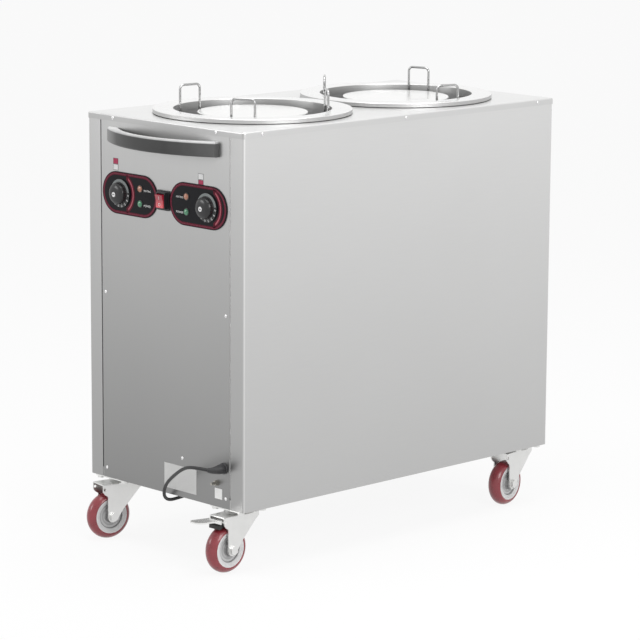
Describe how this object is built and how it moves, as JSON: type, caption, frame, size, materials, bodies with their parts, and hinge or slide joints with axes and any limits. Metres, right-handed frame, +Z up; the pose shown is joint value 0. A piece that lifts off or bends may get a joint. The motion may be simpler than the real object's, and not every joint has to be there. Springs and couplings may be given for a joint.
{
  "type": "plate dispenser cart",
  "caption": "Heated plate dispenser cart: steel cabinet on swivel casters, spring-lifted plate wells with swinging wire guides, push handle, thermostat controls and mains cord.",
  "frame": {"origin": "on the floor, under the middle of the cart's box, without its cord", "axes": "+Z up, +Y from the control end towards the rear end, +X to the right of someone who faces the control end"},
  "size_m": [0.4872, 1.0092, 0.9645],
  "materials": {
    "cabinet_steel": "fine satin",
    "front_steel": "fine satin",
    "ring_steel": "satin",
    "drum_steel": "satin",
    "platform_steel": "polished",
    "wire_steel": "polished",
    "screw_steel": "polished",
    "zinc_steel": "bright zinc",
    "spring_steel": "drawn",
    "heater_steel": "heat dulled",
    "handle_plastic": "moulded satin",
    "fascia_plastic": "printed gloss",
    "knob_plastic": "moulded gloss",
    "housing_plastic": "moulded",
    "rocker_plastic": "translucent gloss",
    "amber_lens": "faceted lens",
    "green_lens": "faceted lens",
    "label_foil": "blank foil",
    "earth_brass": "plated",
    "gland_plastic": "moulded",
    "cord_rubber": "satin",
    "block_plastic": "moulded",
    "tread_rubber": "glossy",
    "hub_plastic": "moulded"
  },
  "bodies": {
    "cabinet": {"base_pan": "cabinet_steel", "blank_plates": "label_foil", "cabinet_screws": "screw_steel", "cable_gland": "gland_plastic", "caster_fixings": "zinc_steel", "caster_top_plates": "zinc_steel", "control_fascia_left": "fascia_plastic", "control_fascia_right": "fascia_plastic", "cord_coil": "cord_rubber", "cord_hooks": "cabinet_steel", "cord_lead": "cord_rubber", "earth_terminal": "earth_brass", "front_panel": "front_steel", "heater_front": "heater_steel", "heater_rear": "heater_steel", "inner_electrics": "block_plastic", "lamps_amber": "amber_lens", "lamps_green": "green_lens", "lift_springs_front": "spring_steel", "lift_springs_rear": "spring_steel", "mains_plug": "cord_rubber", "push_handle": "handle_plastic", "rear_panel": "cabinet_steel", "side_panel_left": "cabinet_steel", "side_panel_right": "cabinet_steel", "switch_housing": "housing_plastic", "top_deck": "cabinet_steel", "well_brackets_front": "drum_steel", "well_brackets_rear": "drum_steel", "well_drum_front": "drum_steel", "well_drum_rear": "drum_steel", "well_ring_front": "ring_steel", "well_ring_rear": "ring_steel"},
    "knob_left": {"thermostat_knob_left": "knob_plastic"},
    "knob_right": {"thermostat_knob_right": "knob_plastic"},
    "rocker": {"power_rocker": "rocker_plastic"},
    "lift_front": {"plate_platform_front": "platform_steel", "lift_carriage_front": "drum_steel"},
    "lift_rear": {"plate_platform_rear": "platform_steel", "lift_carriage_rear": "drum_steel"},
    "guide_front_a": {"plate_guide_front_a": "wire_steel"},
    "guide_front_b": {"plate_guide_front_b": "wire_steel"},
    "guide_front_c": {"plate_guide_front_c": "wire_steel"},
    "guide_rear_a": {"plate_guide_rear_a": "wire_steel"},
    "guide_rear_b": {"plate_guide_rear_b": "wire_steel"},
    "guide_rear_c": {"plate_guide_rear_c": "wire_steel"},
    "caster_front_left": {"caster_fork_front_left": "zinc_steel"},
    "wheel_front_left": {"caster_tyre_front_left": "tread_rubber", "caster_hub_front_left": "hub_plastic"},
    "caster_front_right": {"caster_fork_front_right": "zinc_steel"},
    "wheel_front_right": {"caster_tyre_front_right": "tread_rubber", "caster_hub_front_right": "hub_plastic"},
    "brake_front_right": {"brake_pedal_front_right": "zinc_steel"},
    "caster_rear_left": {"caster_fork_rear_left": "zinc_steel"},
    "wheel_rear_left": {"caster_tyre_rear_left": "tread_rubber", "caster_hub_rear_left": "hub_plastic"},
    "brake_rear_left": {"brake_pedal_rear_left": "zinc_steel"},
    "caster_rear_right": {"caster_fork_rear_right": "zinc_steel"},
    "wheel_rear_right": {"caster_tyre_rear_right": "tread_rubber", "caster_hub_rear_right": "hub_plastic"}
  },
  "joints": [
    {"name": "knob_turn_left", "type": "hinge", "parent": "cabinet", "child": "knob_left", "pos_m": [-0.1345, -0.42702, 0.749], "axis": [0, 1, 0], "range_deg": [0, 270]},
    {"name": "knob_turn_right", "type": "hinge", "parent": "cabinet", "child": "knob_right", "pos_m": [0.1345, -0.42702, 0.749], "axis": [0, 1, 0], "range_deg": [0, 270]},
    {"name": "rocker_tip", "type": "hinge", "parent": "cabinet", "child": "rocker", "pos_m": [0, -0.42052, 0.749], "axis": [1, 0, 0], "range_deg": [-14, 0]},
    {"name": "platform_lift_front", "type": "slide", "parent": "cabinet", "child": "lift_front", "axis": [0, 0, 1], "range_m": [-0.4, 0], "stiffness_N_per_m": 700, "springref_m": 0.06, "deforming": ["lift_springs_front"]},
    {"name": "platform_lift_rear", "type": "slide", "parent": "cabinet", "child": "lift_rear", "axis": [0, 0, 1], "range_m": [-0.4, 0], "stiffness_N_per_m": 700, "springref_m": 0.06, "deforming": ["lift_springs_rear"]},
    {"name": "guide_swing_front_a", "type": "hinge", "parent": "cabinet", "child": "guide_front_a", "pos_m": [-0.13399, -0.2535, 0.86], "axis": [0, 0, -1], "range_deg": [-30, 12]},
    {"name": "guide_swing_front_b", "type": "hinge", "parent": "cabinet", "child": "guide_front_b", "pos_m": [0.11924, -0.27343, 0.86], "axis": [0, 0, -1], "range_deg": [-8, 34]},
    {"name": "guide_swing_front_c", "type": "hinge", "parent": "cabinet", "child": "guide_front_c", "pos_m": [0.07173, -0.02899, 0.86], "axis": [0, 0, -1], "range_deg": [0, 42]},
    {"name": "guide_swing_rear_a", "type": "hinge", "parent": "cabinet", "child": "guide_rear_a", "pos_m": [0.15426, 0.28993, 0.86], "axis": [0, 0, -1], "range_deg": [-24.5, 17.5]},
    {"name": "guide_swing_rear_b", "type": "hinge", "parent": "cabinet", "child": "guide_rear_b", "pos_m": [-0.08835, 0.38672, 0.86], "axis": [0, 0, -1], "range_deg": [-10, 32]},
    {"name": "guide_swing_rear_c", "type": "hinge", "parent": "cabinet", "child": "guide_rear_c", "pos_m": [-0.09287, 0.12791, 0.86], "axis": [0, 0, -1], "range_deg": [0, 42]},
    {"name": "swivel_front_left", "type": "hinge", "parent": "cabinet", "child": "caster_front_left", "pos_m": [-0.183, -0.37502, 0.125], "axis": [0, 0, 1], "continuous": true},
    {"name": "wheel_turn_front_left", "type": "hinge", "parent": "caster_front_left", "child": "wheel_front_left", "pos_m": [-0.18927, -0.4125, 0.05], "axis": [0.9863, -0.165, 0], "continuous": true},
    {"name": "swivel_front_right", "type": "hinge", "parent": "cabinet", "child": "caster_front_right", "pos_m": [0.183, -0.37502, 0.125], "axis": [0, 0, 1], "continuous": true},
    {"name": "wheel_turn_front_right", "type": "hinge", "parent": "caster_front_right", "child": "wheel_front_right", "pos_m": [0.18393, -0.41301, 0.05], "axis": [0.9997, 0.0244, 0], "continuous": true},
    {"name": "brake_press_front_right", "type": "hinge", "parent": "caster_front_right", "child": "brake_front_right", "pos_m": [0.18442, -0.433, 0.111], "axis": [0.9997, 0.0244, 0], "range_deg": [0, 10]},
    {"name": "swivel_rear_left", "type": "hinge", "parent": "cabinet", "child": "caster_rear_left", "pos_m": [-0.183, 0.46098, 0.125], "axis": [0, 0, 1], "continuous": true},
    {"name": "wheel_turn_rear_left", "type": "hinge", "parent": "caster_rear_left", "child": "wheel_rear_left", "pos_m": [-0.183, 0.42298, 0.05], "axis": [1, 0, 0], "continuous": true},
    {"name": "brake_press_rear_left", "type": "hinge", "parent": "caster_rear_left", "child": "brake_rear_left", "pos_m": [-0.183, 0.40298, 0.111], "axis": [1, 0, 0], "range_deg": [0, 10]},
    {"name": "swivel_rear_right", "type": "hinge", "parent": "cabinet", "child": "caster_rear_right", "pos_m": [0.183, 0.46098, 0.125], "axis": [0, 0, 1], "continuous": true},
    {"name": "wheel_turn_rear_right", "type": "hinge", "parent": "caster_rear_right", "child": "wheel_rear_right", "pos_m": [0.18849, 0.42338, 0.05], "axis": [0.9895, 0.1444, 0], "continuous": true}
  ]
}
